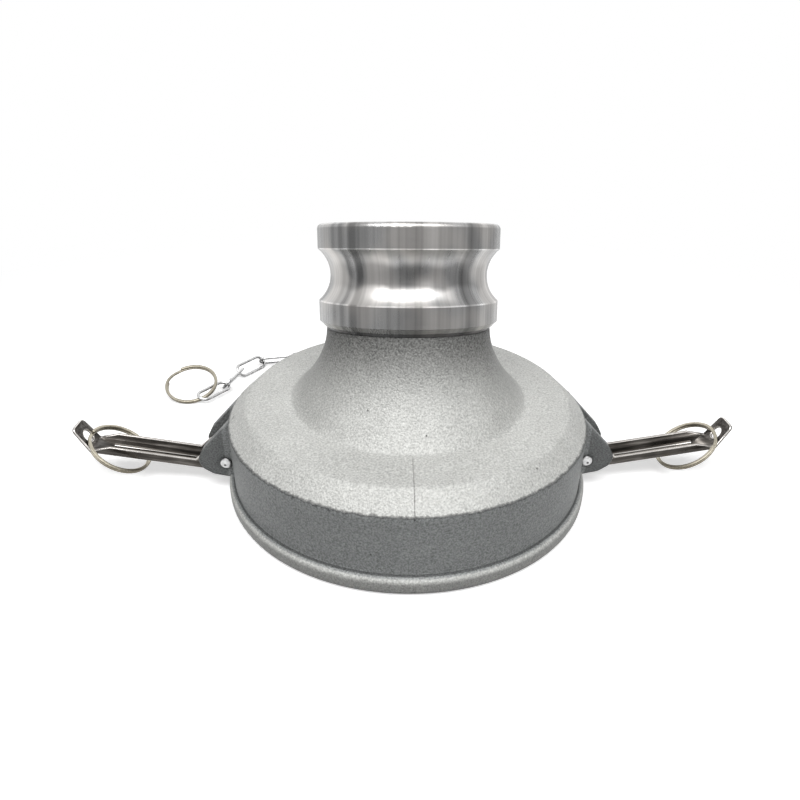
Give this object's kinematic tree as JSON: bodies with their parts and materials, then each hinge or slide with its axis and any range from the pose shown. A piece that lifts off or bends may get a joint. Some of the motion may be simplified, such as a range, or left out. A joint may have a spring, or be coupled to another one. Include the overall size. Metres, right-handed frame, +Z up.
{
  "type": "gravity coupler",
  "caption": "Cast drop-hose gravity coupler with cam levers, pull rings, a leaning male cam adaptor outlet and a tether chain.",
  "frame": {"origin": "centre of the bell's mouth, on the plane that the part rests on", "axes": "+Z up along the bell's axis, +-X along the two levers, the neck leans towards +Y"},
  "size_m": [0.361, 0.2483, 0.1459],
  "materials": {
    "cast_aluminium": "bead-blasted casting with a turned head",
    "nitrile": "matt",
    "stainless_sheet": "polished pressing",
    "pin_steel": "bright",
    "ring_wire": "bright spring wire",
    "chain_wire": "bright plated wire"
  },
  "bodies": {
    "bell": {"coupler_body": "cast_aluminium", "gasket": "nitrile", "pivot_pin_left": "pin_steel", "pivot_pin_right": "pin_steel"},
    "lever_left": {"arm_left": "stainless_sheet"},
    "lever_right": {"arm_right": "stainless_sheet"},
    "ring_left": {"pull_ring_left": "ring_wire"},
    "ring_right": {"pull_ring_right": "ring_wire"},
    "chain": {"chain_link_01": "chain_wire", "chain_link_02": "chain_wire", "chain_link_03": "chain_wire", "chain_link_04": "chain_wire", "chain_link_05": "chain_wire", "chain_link_06": "chain_wire", "chain_link_07": "chain_wire"},
    "chain_end_ring": {"chain_ring": "ring_wire"}
  },
  "joints": [
    {"name": "lever_left_pivot", "type": "hinge", "parent": "bell", "child": "lever_left", "pos_m": [-0.098, 0, 0.0167], "axis": [0, 1, 0], "range_deg": [0, 80]},
    {"name": "lever_right_pivot", "type": "hinge", "parent": "bell", "child": "lever_right", "pos_m": [0.098, 0, 0.0167], "axis": [0, -1, 0], "range_deg": [0, 80]},
    {"name": "pull_ring_left_spin", "type": "hinge", "parent": "lever_left", "child": "ring_left", "pos_m": [-0.16001, 0.00093, 0.01576], "axis": [0.5894, -0.0242, 0.8075], "continuous": true},
    {"name": "pull_ring_right_spin", "type": "hinge", "parent": "lever_right", "child": "ring_right", "pos_m": [0.16001, 0.00093, 0.01576], "axis": [-0.5894, -0.0242, 0.8075], "continuous": true},
    {"name": "chain_swing", "type": "hinge", "parent": "bell", "child": "chain", "pos_m": [-0.04416, 0.09471, 0.0133], "axis": [0, 0, 1], "range_deg": [-3, 3]},
    {"name": "chain_ring_spin", "type": "hinge", "parent": "chain", "child": "chain_end_ring", "pos_m": [-0.14622, 0.09697, 0.00735], "axis": [0, -0.342, 0.9397], "continuous": true}
  ]
}
